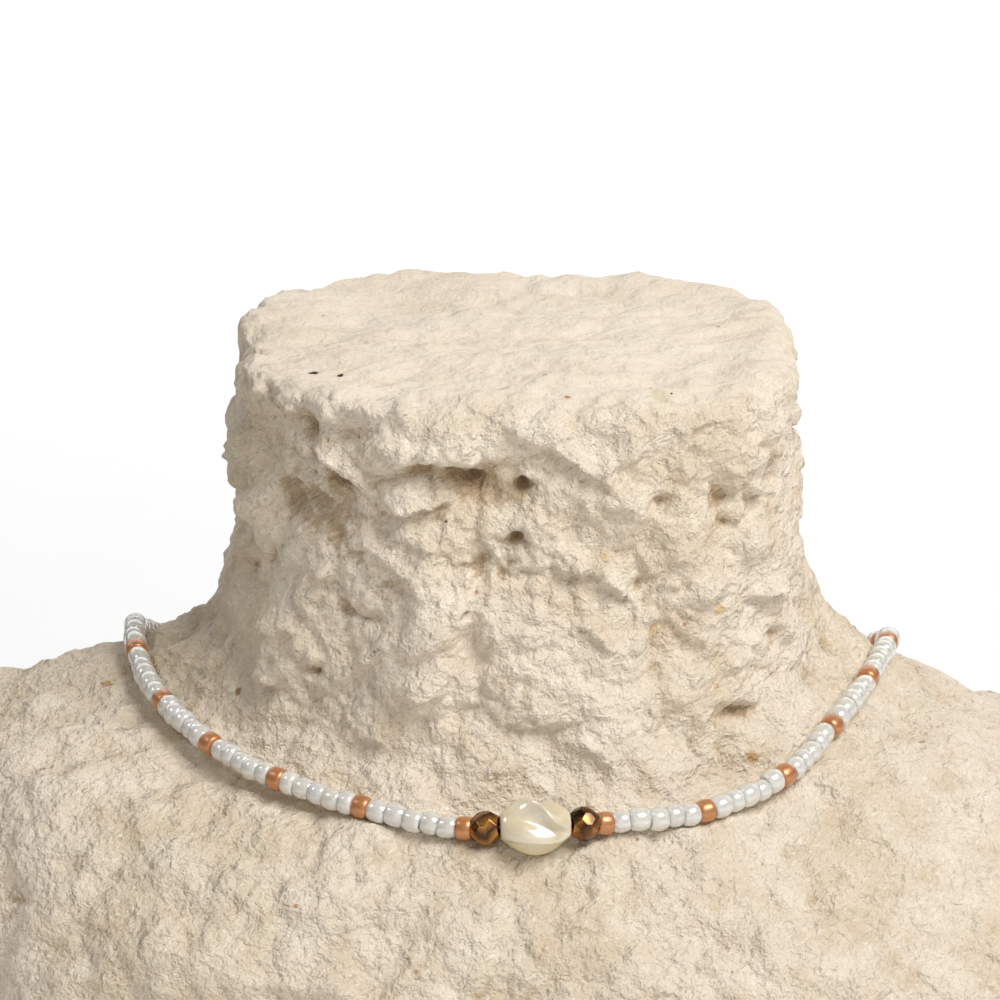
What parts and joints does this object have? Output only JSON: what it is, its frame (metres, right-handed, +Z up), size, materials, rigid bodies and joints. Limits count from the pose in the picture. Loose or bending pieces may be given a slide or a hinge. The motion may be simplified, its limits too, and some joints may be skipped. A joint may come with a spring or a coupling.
{
  "type": "beaded choker necklace on a neck bust",
  "caption": "Choker of white and copper seed beads with a faceted baroque pearl between two cut rondelles, lying round a plain neck bust.",
  "frame": {"origin": "middle of the neck bust's flat foot", "axes": "+Z up, -Y to the front, where the pearl lies, and +X along the shoulders"},
  "size_m": [0.231, 0.17, 0.1415],
  "materials": {
    "bust_pulp": "rough paper pulp",
    "white_bead": "pearly lustre",
    "copper_bead": "satin copper coating",
    "rondelle": "bronze mirror coating",
    "pearl": "glossy nacre",
    "clasp_metal": "polished"
  },
  "bodies": {
    "root": {"neck_bust": "bust_pulp", "baroque_pearl": "pearl", "barrel_clasp": "clasp_metal", "bronze_rondelle_left": "rondelle", "copper_bead_left_01": "copper_bead", "copper_bead_left_02": "copper_bead", "copper_bead_left_03": "copper_bead", "copper_bead_left_04": "copper_bead", "copper_bead_left_05": "copper_bead", "copper_bead_left_06": "copper_bead", "copper_bead_left_07": "copper_bead", "copper_bead_left_08": "copper_bead", "copper_bead_left_09": "copper_bead", "copper_bead_left_10": "copper_bead", "copper_bead_left_11": "copper_bead", "white_bead_string_left": "white_bead", "bronze_rondelle_right": "rondelle", "copper_bead_right_01": "copper_bead", "copper_bead_right_02": "copper_bead", "copper_bead_right_03": "copper_bead", "copper_bead_right_04": "copper_bead", "copper_bead_right_05": "copper_bead", "copper_bead_right_06": "copper_bead", "copper_bead_right_07": "copper_bead", "copper_bead_right_08": "copper_bead", "copper_bead_right_09": "copper_bead", "copper_bead_right_10": "copper_bead", "copper_bead_right_11": "copper_bead", "white_bead_string_right": "white_bead"}
  },
  "joints": []
}
